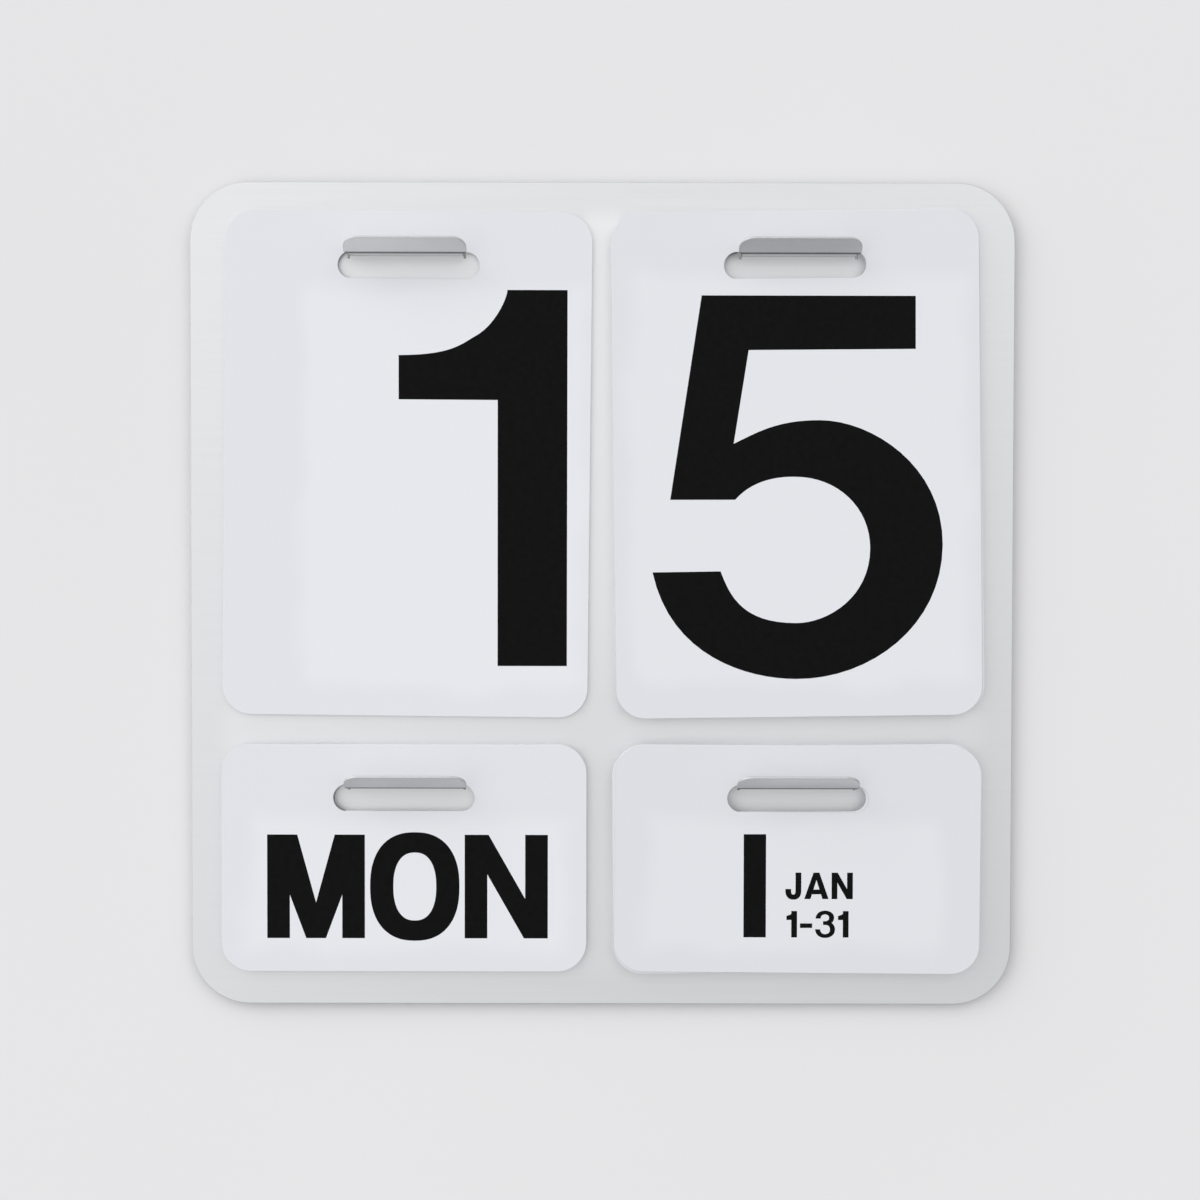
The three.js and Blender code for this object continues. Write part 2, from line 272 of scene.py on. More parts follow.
# ---------------------------------------------------------------- back plate, its hooks bent out of the same sheet
PLATE_FRONT = -WALL_GAP - SHEET
FOLD = 90 - LIP_LEAN
TURN = (BEND_R + SHEET) * math.tan(math.radians(FOLD / 2))  # from the fold's corner to where it starts
S_BEND1 = (BEND_R + SHEET / 2) * math.pi / 2
S_SHELF = S_BEND1 + HOOK_REACH - TURN - BEND_R
S_BEND2 = S_SHELF + (BEND_R + SHEET / 2) * math.radians(FOLD)
S_TIP = S_BEND2 + LIP_LENGTH - TURN
FOLD_LINE = 0.35  # the painted shade line's reach past the fold, to each side
HOOKS = [(x, z) for z in (HOOK_Z_UPPER, HOOK_Z_LOWER) for x in (-HOOK_X, HOOK_X)]


def place_plate(p, depth, tag):
    """The sheet lies flat behind the cards, and each hook's tongue is bent forward and then up, about two level folds."""
    n = len(p)
    f = np.full(n, -float(depth))
    z = p[:, 1].copy()
    ang = np.zeros(n)  # turn of the sheet's upward direction towards the front
    for k, (hx, hz) in enumerate(HOOKS, 1):
        root = hz - SHEET - BEND_R
        m = (tag == k) & (p[:, 1] > root)
        s = p[:, 1] - root
        a = m & (s <= S_BEND1)
        t = s[a] / S_BEND1 * math.pi / 2
        r = BEND_R + depth
        f[a], z[a], ang[a] = BEND_R - r * np.cos(t), root + r * np.sin(t), t
        a = m & (s > S_BEND1) & (s <= S_SHELF)
        f[a], z[a], ang[a] = BEND_R + s[a] - S_BEND1, hz - SHEET + depth, math.pi / 2
        a = m & (s > S_SHELF) & (s <= S_BEND2)
        t = (s[a] - S_SHELF) / (S_BEND2 - S_SHELF) * math.radians(FOLD)
        r = BEND_R + SHEET - depth
        f[a], z[a], ang[a] = HOOK_REACH - TURN + r * np.sin(t), hz + BEND_R - r * np.cos(t), math.pi / 2 - t
        a = m & (s > S_BEND2)
        q = math.radians(FOLD)
        f[a] = HOOK_REACH - TURN + r * math.sin(q) + (s[a] - S_BEND2) * math.cos(q)
        z[a] = hz + BEND_R - r * math.cos(q) + (s[a] - S_BEND2) * math.sin(q)
        ang[a] = math.pi / 2 - q
    pos = np.stack([p[:, 0], PLATE_FRONT - f, z], 1)
    zero = np.zeros(n)
    u = np.stack([np.ones(n), zero, zero], 1)
    v = np.stack([zero, -np.sin(ang), np.cos(ang)], 1)
    w = np.stack([zero, -np.cos(ang), -np.sin(ang)], 1)
    return pos, u, v, w


def hook_loop(hx, hz):
    """The cut round one tongue and its window, material on the left. Also which of its points are on the tongue, and the
    pairs of points, right and left, where the tongue bends."""
    zb, root = hz + WINDOW_BOTTOM, hz - SHEET - BEND_R
    steps = [0.0]
    steps += [S_BEND1 * i / 10 for i in range(1, 11)]
    corner = S_BEND2 - TURN  # the fold's corner, along the sheet
    steps += [S_BEND1 + (S_SHELF - S_BEND1) * i / 3 for i in (1, 2, 3)]
    steps[-1:-1] = [S_SHELF - FOLD_LINE]
    steps += [S_SHELF + (S_BEND2 - S_SHELF) * i / 8 for i in range(1, 9)]
    steps += [t for t in (S_BEND2 + FOLD_LINE, corner + 0.9, corner + 1.1, corner + 3.0) if t > S_BEND2 + 0.05]
    steps = sorted(steps)

    def half(s):
        t = s - corner
        for t0, w0, t1, w1 in ((-0.6, SHELF_HALF_W, 0.3, LIP_HALF_W - 0.3), (0.3, LIP_HALF_W - 0.3, 1.1, LIP_HALF_W)):
            if t0 <= t < t1:
                k = (t - t0) / (t1 - t0)
                k = k * k * (3 - 2 * k)
                return w0 + (w1 - w0) * k
        return SHELF_HALF_W if t < -0.6 else LIP_HALF_W

    right = [(hx + SHELF_HALF_W, zb)] + [(hx + half(s), root + s) for s in steps]
    tip = arc(hx + LIP_HALF_W - LIP_CORNER_R, root + S_TIP - LIP_CORNER_R, LIP_CORNER_R, 0, 90, 14)
    tip += arc(hx - LIP_HALF_W + LIP_CORNER_R, root + S_TIP - LIP_CORNER_R, LIP_CORNER_R, 90, 180, 14)
    left = [(2 * hx - x, z) for x, z in right[::-1]]
    narrow, wide, r = SHELF_HALF_W + KERF, LIP_HALF_W + KERF, LIP_CORNER_R + KERF
    window = [(hx - narrow, zb), (hx - narrow, hz + WINDOW_STEP), (hx - wide, hz + WINDOW_STEP + 2.6)]
    window += arc(hx - wide + r, hz + WINDOW_TOP - r, r, 180, 90, 10) + arc(hx + wide - r, hz + WINDOW_TOP - r, r, 90, 0, 10)
    window += [(hx + wide, hz + WINDOW_STEP + 2.6), (hx + narrow, hz + WINDOW_STEP), (hx + narrow, zb)]
    loop = right + tip + left + window
    on_tongue = [1] * (len(right) + len(tip) + len(left)) + [0] * len(window)
    m = len(right) + len(tip) + len(left) - 1
    return loop, on_tongue, [(i, m - i) for i in range(1, len(right) - 1)]


def on_fold(middles, tags):
    """The line along the outside of each fold between shelf and lip, which gets painted shade."""
    out = np.zeros(len(middles), bool)
    for k, (hx, hz) in enumerate(HOOKS, 1):
        s = middles[:, 1] - (hz - SHEET - BEND_R)
        out |= (tags == k) & (s > S_SHELF - FOLD_LINE) & (s < S_BEND2 + FOLD_LINE)
    return out


def beside_shelf(number, loop, tags):
    """The cut sides of the tongues between plate and lip, which have the fold line's painted shade."""
    if number == 0:
        return [False] * len(loop)
    s = loop[:, 1] - (HOOKS[number - 1][1] - SHEET - BEND_R)
    return (tags > 0) & (s < S_BEND2)


def make_plate():
    h = PLATE_SIZE / 2
    loops = [no_repeats(rounded_box(-h, h, -h, h, PLATE_CORNER_R, 40))]
    tags = [np.zeros(len(loops[0]), int)]
    rows = []
    for k, (hx, hz) in enumerate(HOOKS, 1):
        loop, on, pairs = hook_loop(hx, hz)
        loops.append(loop)
        tags.append(np.array(on) * k)
        rows += [((k, i), (k, j)) for i, j in pairs]
    plate = sheet("plate_sheet", loops, SHEET, 0.22, place_plate, tags, rows, folds=on_fold, sides=beside_shelf)
    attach(plate, "plate")
    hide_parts("back_plate")
    return plate


# ---------------------------------------------------------------- printing: plain grotesque figures and capitals
def bezier(p0, p1, p2, p3, n):
    out = []
    for i in range(1, n + 1):
        t = i / n
        a, b, c, d = (1 - t) ** 3, 3 * (1 - t) ** 2 * t, 3 * (1 - t) * t * t, t ** 3
        out.append((a * p0[0] + b * p1[0] + c * p2[0] + d * p3[0], a * p0[1] + b * p1[1] + c * p2[1] + d * p3[1]))
    return out


def outline(start, *steps, n=14):
    """Points of an outline or centreline: a step is a point for a line, or three points for a curve."""
    pts = [start]
    for s in steps:
        if len(s) == 2:
            pts.append(s)
        else:
            pts += bezier(pts[-1], (s[0], s[1]), (s[2], s[3]), (s[4], s[5]), n)
    return pts


def pen(pts, wide, flat, start=None, end=None):
    """A stroke along a centreline: wide across where it runs upright, flat across where it runs level.
    start and end give the direction of the line's first and last bit where the curve's own isn't wanted."""
    left, right = [], []
    n = len(pts)
    for i, p in enumerate(pts):
        a, b = pts[max(0, i - 1)], pts[min(n - 1, i + 1)]
        tx, ty = b[0] - a[0], b[1] - a[1]
        if i == 0 and start:
            tx, ty = start
        if i == n - 1 and end:
            tx, ty = end
        k = math.hypot(tx, ty)
        tx, ty = tx / k, ty / k
        w = math.hypot(wide * ty, flat * tx) / 2
        left.append((p[0] - ty * w, p[1] + tx * w))
        right.append((p[0] + ty * w, p[1] - tx * w))
    return left + right[::-1]


def oval(cx, cy, a, b, square=2.25, n=72):
    """A closed round as a superellipse."""
    e = 2 / square
    out = []
    for i in range(n):
        t = 2 * math.pi * i / n
        c, s = math.cos(t), math.sin(t)
        out.append((cx + a * math.copysign(abs(c) ** e, c), cy + b * math.copysign(abs(s) ** e, s)))
    return out


def rect(x0, y0, x1, y1):
    return [(x0, y0), (x1, y0), (x1, y1), (x0, y1)]


def ring(cx, cy, a, b, wide, flat, square=2.25, inner=None, n=72):
    """Outer half sizes a and b, less a stroke that is wide at the sides and flat at top and bottom."""
    return [("+", oval(cx, cy, a, b, square, n)), ("-", oval(cx, cy, a - wide, b - flat, inner or square, n))]


V, H, CAP, OVER = 27.0, 20.6, 141.2, 2.4  # stems, level strokes, height and overshoot of the large digits


def digit(d):
    """(width, steps) of a large digit, drawn from its left edge and base line: outlines to fill or to cut away."""
    if d == "1":
        flag = outline((0, 116.8), (20.0, 116.8, 23.48, 120.99, 28.89, 123.99), (36.27, 128.1, 40.79, 138.2, 40.82, 141.2))
        return 63.4, [("+", flag + [(63.4, 141.2), (63.3, 0), (37.2, 0), (37.2, 100.0), (0, 100.2)])]
    if d == "5":
        return 108.9, [("+", outline(
            (18.16, 141.23), (98.2, 141.21), (98.33, 121.41), (35.8, 120.86), (30.31, 85.85),
            (39.1, 90.06, 46.31, 94.74, 62.68, 94.74), (81.57, 94.74, 108.86, 78.17, 108.86, 48.13),
            (108.86, 17.83, 82.22, -2.37, 54.1, -2.37), (36.06, -2.37, 6.94, 5.69, 0, 37.59),
            (25.57, 38.04), (29.07, 28.78, 33.83, 18.67, 53.83, 18.67), (66.02, 18.67, 81.63, 28.53, 81.63, 46.68),
            (81.63, 62.03, 69.38, 73.53, 53.33, 73.53), (50.33, 73.53, 38.59, 73.73, 30.95, 64.86), (6.57, 64.8), n=16))]
    if d == "0":
        return 106, ring(53, 70.6, 53, 73, V, H, 2.5)
    if d == "2":
        top = outline((14.6, 96), (14.6, 118, 31, 133.3, 54, 133.3), (76, 133.3, 91, 119, 91, 100.5), (91, 81, 76, 69, 57, 56), (36, 42, 19, 32, 15, 8))
        return 104, [("+", pen(top, V, H, start=(0, 1))), ("-", rect(-2, -9, 44, 0)), ("-", rect(-9, 0, 1, 30)), ("+", rect(1, 0, 103, 20.6))]
    if d == "3":
        up = outline((16, 101), (17, 121, 32, 133.3, 53, 133.3), (74, 133.3, 87.5, 121, 87.5, 105.3), (87.5, 89, 74, 77.1, 53, 77.1), (42, 77.1))
        low = outline((42, 77.1), (53, 77.1), (79, 77.1, 92.5, 62, 92.5, 43.2), (92.5, 21, 76, 7.9, 53.5, 7.9), (30, 7.9, 14.5, 22, 13.6, 44))
        return 106, [("+", pen(up, V, H, start=(0, 1))), ("+", pen(low, V, H, end=(0, 1)))]
    if d == "4":
        return 108, [("+", [(0, 30), (107, 30), (107, 50.6), (89, 50.6), (89, 141.2), (60, 141.2), (0, 55)]),
                     ("-", [(22, 50.6), (63, 50.6), (63, 110)]), ("+", rect(63, 0, 89, 30))]
    if d == "6":
        stem = outline((92, 104), (88, 122, 76, 133.3, 57, 133.3), (27, 133.3, 13.5, 103, 13.5, 68), (13.5, 60, 13.5, 54, 13.6, 47))
        return 106, [("+", pen(stem, V, H, start=(0, 1)))] + ring(53.5, 47, 53, 49.4, V, H, 2.2)[:1] + ring(53.5, 47, 53, 49.4, V, H, 2.2)[1:]
    if d == "9":
        w, steps = digit("6")
        return w, [(k, [(w - x, 141.2 - y) for x, y in pts]) for k, pts in steps]
    if d == "7":
        leg = outline((88, 122), (70, 103, 47, 62, 43.5, -6))
        return 102, [("+", pen(leg, V + 1, V + 1)), ("-", rect(20, -12, 70, 0)), ("-", rect(60, 121, 112, 137)), ("+", rect(1, 120.6, 102, 141.2)),
                     ("+", [(74, 120.7), (102, 120.7), (91.5, 106.5), (74, 105)])]
    if d == "8":
        return 106, [("+", oval(53, 103.6, 47.5, 40.0, 2.2)), ("+", oval(53, 38.9, 53, 41.3, 2.2)),
                     ("-", oval(53, 104.6, 47.5 - 25, 40.0 - 19.6, 2.2)), ("-", oval(53, 39.3, 53 - V, 41.3 - 19.8, 2.2))]
    raise KeyError(d)


S, T = 21.8, 19.2  # stems and level strokes of the letters, on a height of 100


def letter(c):
    """(width, steps) of a capital or small sign, on a height of 100."""
    up = lambda x: ("+", rect(x, 0, x + S, 100))
    bar = lambda x0, x1, y: ("+", rect(x0, y, x1, y + T))
    o = 2.4
    if c == "I":
        return S, [up(0)]
    if c == "1":
        return 40, [("+", rect(40 - S, 0, 40, 100)), ("+", [(0, 66), (40 - S, 66), (40 - S, 81), (40 - S + 8, 100), (24, 100), (16, 87), (0, 81)])]
    if c == "-":
        return 46, [("+", rect(0, 36, 46, 36 + T * 0.9))]
    if c == "E":
        return 66, [up(0), bar(0, 66, 0), bar(0, 61, 41.5), bar(0, 65, 100 - T)]
    if c == "F":
        return 62, [up(0), bar(0, 57, 39.5), bar(0, 62, 100 - T)]
    if c == "H":
        return 78, [up(0), up(78 - S), bar(0, 78, 41)]
    if c == "L":
        return 64, [up(0), bar(0, 64, 0)]
    if c == "T":
        return 74, [up(37 - S / 2), bar(0, 74, 100 - T)]
    if c == "N":
        return 80, [up(0), up(80 - S), ("+", [(0, 100), (23, 100), (80, 0), (57, 0)])]
    if c == "M":
        return 94, [up(0), up(94 - S), ("+", [(0, 100), (29, 100), (56.5, 0), (37.5, 0)]), ("+", [(94, 100), (65, 100), (37.5, 0), (56.5, 0)])]
    if c == "A":
        return 92, [("+", [(0, 0), (35, 100), (57, 100), (92, 0), (68.5, 0), (46, 72), (23.5, 0)]), ("+", [(23, 18), (69, 18), (63, 36), (29, 36)])]
    if c == "V":
        return 90, [("+", [(0, 100), (33.5, 0), (56.5, 0), (90, 100), (67, 100), (45, 28), (23, 100)])]
    if c == "W":
        return 128, [("+", [(0, 100), (26, 0), (49, 0), (64, 70), (79, 0), (102, 0), (128, 100), (106, 100), (90.5, 30), (75.5, 100), (52.5, 100), (37.5, 30), (22, 100)])]
    if c == "Y":
        return 88, [("+", [(0, 100), (33, 39), (33, 0), (55, 0), (55, 39), (88, 100), (63, 100), (44, 60), (25, 100)])]
    if c == "O":
        return 86, ring(43, 50, 43, 50 + o, S + 0.6, T + 0.4, 2.35)
    if c == "C":
        return 84, ring(43, 50, 43, 50 + o, S + 0.6, T + 0.4, 2.35) + [("-", rect(50, 38, 100, 64)), ("-", [(43, 50), (100, 38), (100, 38.1), (100, 64), (43, 52)])]
    if c == "G":
        return 86, ring(43, 50, 43, 50 + o, S + 0.6, T + 0.4, 2.35) + [("-", rect(48, 50, 100, 67)), ("+", rect(46, 37, 86, 53)), ("+", rect(86 - S * 0.8, 0, 86, 53))]
    if c == "D":
        return 80, [("+", rect(0, 0, 40, 100)), ("+", oval(40, 50, 40, 50, 2.3)), ("-", rect(S, T, 38, 100 - T)), ("-", oval(36, 50, 44 - S, 50 - T, 2.3)), up(0)]
    if c in "BPR":
        b = T * 0.97
        head = [("+", rect(0, 44, 46, 100)), ("+", oval(44, 71.2, 29, 28.8, 2.3)), ("-", rect(S, 44 + b, 44, 100 - b)), ("-", oval(43, 71.8, 28.6 - S * 0.92, 28.6 - b, 2.3))]
        if c == "P":
            head = [("+", rect(0, 36, 46, 100)), ("+", oval(44, 68, 29.5, 32, 2.3)), ("-", rect(S, 36 + b, 44, 100 - b)), ("-", oval(43, 68, 29 - S * 0.92, 32 - b, 2.3))]
            return 73.5, head + [up(0)]
        if c == "R":
            return 78, head + [up(0), ("+", [(40, 50), (66, 50), (72, 30), (73, 8), (78, 0), (55, 0), (51, 8), (49, 30), (44, 42)])]
        low = [("+", rect(0, 0, 46, 54)), ("+", oval(45, 28, 31.5, 28, 2.3)), ("-", rect(S, b, 45, 55.6 - b)), ("-", oval(44, 27.8, 31 - S * 0.94, 27.8 - b, 2.3))]
        return 76.5, head[:2] + low[:2] + head[2:] + low[2:] + [("+", rect(0, 45.6, 50, 45.6 + b * 0.55)), up(0)]
    if c == "U":
        w = 79
        return w, [("+", rect(0, 38, w, 100)), ("+", oval(w / 2, 38, w / 2, 38 + o, 2.3)), ("-", rect(S, 38, w - S, 101)), ("-", oval(w / 2, 38, w / 2 - S, 38 + o - T - 0.6, 2.3))]
    if c == "J":
        w = 60
        return w, [("+", rect(0, 32, w, 100)), ("+", oval(w / 2, 32, w / 2, 32 + o, 2.3)), ("-", rect(-1, 38, w - S, 101)), ("-", rect(S, 32, w - S, 60)), ("-", oval(w / 2, 32, w / 2 - S, 32 + o - T, 2.3))]
    if c == "S":
        line = outline((12, 30), (12, 17, 24, T / 2 - o, 40, T / 2 - o), (56, T / 2 - o, 66, 17, 66, 28), (66, 40, 56, 44.5, 39, 49.5), (22, 54.5, 12.5, 59, 12.5, 72), (12.5, 84, 23, 100 - T / 2 + o, 38, 100 - T / 2 + o), (54, 100 - T / 2 + o, 65, 84, 65.5, 70))
        return 78, [("+", pen(line, S * 1.02, T, start=(0, -1), end=(0, -1)))]
    if c == "0":
        return 70, ring(35, 50, 35, 50 + o, S, T, 2.5)
    if c in "23456789":
        w, steps = digit(c)
        k = 100 / 141.2
        return w * k, [(s, [(x * k, y * k) for x, y in pts]) for s, pts in steps]
    raise KeyError(c)


def shifted(steps, x, y, k):
    return [(s, [(x + px * k, y + py * k) for px, py in pts]) for s, pts in steps]


def line(text, x, y, k, gap):
    """A line of capitals and figures from its left edge, k the size of one unit."""
    out = []
    for c in text:
        w, steps = letter(c)
        out.append(shifted(steps, x, y, k))
        x += (w + gap) * k
    return out


def centred(text, x, y, k, gap=5):
    width = sum(letter(c)[0] for c in text) + gap * (len(text) - 1)
    return line(text, x - width * k / 2, y, k, gap)

# ---------------------------------------------------------------- cards
def hang_height(shift, turn):
    r, rise = SLOT_H / 2, 0.0
    straight = SLOT_W / 2 - r
    for i in range(41):
        x = -SHELF_HALF_W + 2 * SHELF_HALF_W * i / 40 - shift
        past = max(0.0, abs(x) - straight)
        rise = max(rise, r - math.sqrt(r * r - past * past) - x * math.tan(math.radians(turn)))
    return rise + SLOT_REST


DAYS = ("MON", "TUE", "WED", "THU", "FRI", "SAT", "SUN")
MONTHS = ("JAN", "FEB", "MAR", "APR", "MAY", "JUN", "JUL", "AUG", "SEP", "OCT", "NOV", "DEC")
LAST = (31, 29, 31, 30, 31, 30, 31, 31, 30, 31, 30, 31)


def printing(pack, name):
    """The card's print, level, about the middle of the slot's top edge."""
    what = name.rsplit("_", 1)[1]
    if what == "blank":
        return []
    if pack == "tens":
        w, steps = digit(what)
        return [shifted(steps, 59.5 - w, -155.42, 1.0)]
    if pack == "units":
        w, steps = digit(what)
        return [shifted(steps, 1.4 - w / 2, -157.7, 1.0)]
    if pack == "weekday":
        return centred(DAYS[int(what) - 1], 1.3, -58.15, 0.392)
    n = int(what)
    out, x = [], -12.05
    for c in str(n)[::-1]:
        w, steps = (21.64, [("+", rect(0, 0, 21.64, 100))]) if c == "1" else letter(c)
        out.append(shifted(steps, x - w * 0.3896, -57.29, 0.3896))
        x -= w * 0.3896 + 4.4
    out += line(MONTHS[n - 1], -4.75, -42.78, 0.1, 11)
    out += line("1-%d" % LAST[n - 1], -4.3, -57.3, 0.1, 11)
    return out


def turned(groups, degrees):
    c, s = math.cos(math.radians(degrees)), math.sin(math.radians(degrees))
    return [[(k, [(x * c - y * s, x * s + y * c) for x, y in poly]) for k, poly in steps] for steps in groups]


def place_card(p, depth, tag):
    n = len(p)
    pos = np.stack([p[:, 0], np.full(n, -CARD_T + depth), p[:, 1]], 1)
    return (pos, *axes(n, (1, 0, 0), (0, 0, 1), (0, -1, 0)))


def slot_end(number, loop, tags):
    """The slot's left end, which has a darker material of its own: painted shade."""
    return (loop[:, 0] < SLOT_H * 0.45 - SLOT_W / 2) & (number > 0)


def make_cards():
    made = []
    for pack, (hx, hz, height, cards) in PACKS.items():
        level = -cards[-1][2]  # the print is level on the front card, which hangs a little askew
        for i, (node, shift, turn) in enumerate(cards):
            outer = no_repeats(rounded_box(-CARD_W / 2, CARD_W / 2, SLOT_BELOW_TOP - height, SLOT_BELOW_TOP, CARD_CORNER_R, 26))
            slot = no_repeats(rounded_box(-SLOT_W / 2, SLOT_W / 2, -SLOT_H, 0, SLOT_H / 2 - 1e-3, 14))[::-1]
            kind, _, what = node.partition("_card_")
            obj = sheet(
                "card_%s_%s" % (kind, what), [outer, slot], CARD_T, 0.08, place_card, prints=turned(printing(pack, node), level),
                rounds=2, sides=slot_end)
            obj.location = (
                (hx + shift) * MM, (PLATE_FRONT - FIRST_CARD - i * CARD_PITCH) * MM, (hz + hang_height(shift, turn)) * MM)
            obj.rotation_euler = (0, -math.radians(turn), 0)
            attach(obj, node)
            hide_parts(node)
            made.append((pack, obj))
    return made


# ---------------------------------------------------------------- behind the plate
def lathe(name, profile, at, n=72):
    """A closed body turned about an axis along y: profile is (radius, y), from the axis to the axis."""
    co, faces, rings = [], [], []
    for r, y in profile:
        if r < 1e-6:
            rings.append([len(co)])
            co.append((at[0], y, at[1]))
        else:
            rings.append(list(range(len(co), len(co) + n)))
            co += [(at[0] + r * math.cos(2 * math.pi * k / n), y, at[1] + r * math.sin(2 * math.pi * k / n)) for k in range(n)]
    for a, b in zip(rings, rings[1:]):
        for k in range(n):
            j = (k + 1) % n
            if len(a) == 1:
                faces.append((a[0], b[k], b[j]))
            elif len(b) == 1:
                faces.append((a[k], b[0], a[j]))
            else:
                faces.append((a[k], b[k], b[j], a[j]))
    mesh = bpy.data.meshes.new(name)
    mesh.from_pydata((np.array(co) * MM).tolist(), [], faces)
    mesh.polygons.foreach_set("use_smooth", [True] * len(mesh.polygons))
    mesh.update()
    mesh.set_sharp_from_angle(angle=math.radians(32))
    obj = bpy.data.objects.new(name, mesh)
    bpy.context.scene.collection.objects.link(obj)
    return obj


def make_bumpers():
    made = []
    for name, sx, sz in (("top_left", -1, 1), ("top_right", 1, 1), ("bottom_left", -1, -1), ("bottom_right", 1, -1)):
        r = BUMPER_R
        profile = [(0, -WALL_GAP), (r - 0.1, -WALL_GAP), (r - 0.02, -WALL_GAP + 0.06), (r, -WALL_GAP + 0.16)]
        for i in range(13):  # a short straight side, then a crowned shoulder down to the flat that rests on the wall
            t = math.pi / 2 * i / 12
            profile.append((r - 1.15 + 1.15 * math.cos(t), -1.25 + 1.25 * math.sin(t)))
        profile.append((0, 0))
        obj = lathe("bumper_%s_dome" % name, profile, (sx * BUMPER_AT, sz * BUMPER_AT))
        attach(obj, "plate")
        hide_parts("bumper_" + name)
        made.append(obj)
    return made


def place_bracket(p, depth, tag):
    """A hat-shaped strip, seen from the wall: a raised middle, a ramp at 45 degrees at each side, and a foot on the plate."""
    n = len(p)
    side = np.where(p[:, 0] < 0, -1.0, 1.0)
    s = np.abs(p[:, 0])
    mid_r, q = 1.0, math.pi / 4
    tan = mid_r * math.tan(q / 2)
    s1 = 18.4 - tan
    s2 = s1 + mid_r * q
    ramp = 1.8 * math.sqrt(2) - 2 * tan
    s3, s4 = s2 + ramp, s2 + ramp + mid_r * q
    x, y, ang = s.copy(), np.full(n, BRACKET_FACE - depth), np.zeros(n)
    a = (s > s1) & (s <= s2)
    r = mid_r + BRACKET_T / 2 - depth
    t = (s[a] - s1) / mid_r
    cy = BRACKET_FACE - BRACKET_T / 2 - mid_r
    x[a], y[a], ang[a] = s1 + r * np.sin(t), cy + r * np.cos(t), t
    a = (s > s2) & (s <= s3)
    x[a] = s1 + r * math.sin(q) + (s[a] - s2) * math.cos(q)
    y[a] = cy + r * math.cos(q) - (s[a] - s2) * math.sin(q)
    ang[a] = q
    x_foot = 20.2 + tan
    a = (s > s3) & (s <= s4)
    r = mid_r - BRACKET_T / 2 + depth
    t = q - (s[a] - s3) / mid_r
    cy = -WALL_GAP + BRACKET_T / 2 + mid_r
    x[a], y[a], ang[a] = x_foot - r * np.sin(t), cy - r * np.cos(t), t
    a = s > s4
    x[a], y[a], ang[a] = x_foot + s[a] - s4, -WALL_GAP + BRACKET_T - depth, 0
    pos = np.stack([-side * x, y, p[:, 1]], 1)
    zero = np.zeros(n)
    u = np.stack([-np.cos(ang), -side * np.sin(ang), zero], 1)
    v = np.stack([zero, zero, np.ones(n)], 1)
    w = np.stack([-side * np.sin(ang), np.cos(ang), zero], 1)
    return pos, u, v, w


def make_bracket():
    tan = math.tan(math.pi / 8)
    s1, b = 18.4 - tan, math.pi / 4
    s3 = s1 + b + 1.8 * math.sqrt(2) - 2 * tan
    half = s3 + b + BRACKET_W / 2 - 20.2 - tan
    bends = [s1 + b * i / 6 for i in range(7)] + [s3 + b * i / 6 for i in range(7)]
    z0, z1, r = BRACKET_Z0, BRACKET_Z0 + BRACKET_H, 2.5
    bottom = [(-x, z0) for x in bends[::-1]] + [(x, z0) for x in bends]
    top = [(x, z1) for x in bends[::-1]] + [(-x, z1) for x in bends]
    outer = bottom + arc(half - r, z0 + r, r, -90, 0, 10) + arc(half - r, z1 - r, r, 0, 90, 10)
    outer += top + arc(-half + r, z1 - r, r, 90, 180, 10) + arc(-half + r, z0 + r, r, 180, 270, 10)
    m = len(bottom)
    t0 = m + 22
    rows = [((0, i), (0, t0 + m - 1 - i)) for i in range(m)]
    neck = KEYHOLE_SLOT / 2
    a0 = math.degrees(math.acos(neck / KEYHOLE_R))
    key = arc(0, KEYHOLE_Z, KEYHOLE_R, a0, -180 - a0, 48) + arc(0, KEYHOLE_Z + KEYHOLE_RISE, neck, 180, 0, 20)
    obj = sheet("hanger_bracket_strip", [outer, no_repeats(key)], BRACKET_T, 0.14, place_bracket, rows=rows, rim=FACE)
    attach(obj, "plate")
    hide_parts("hanger_bracket")
    return obj


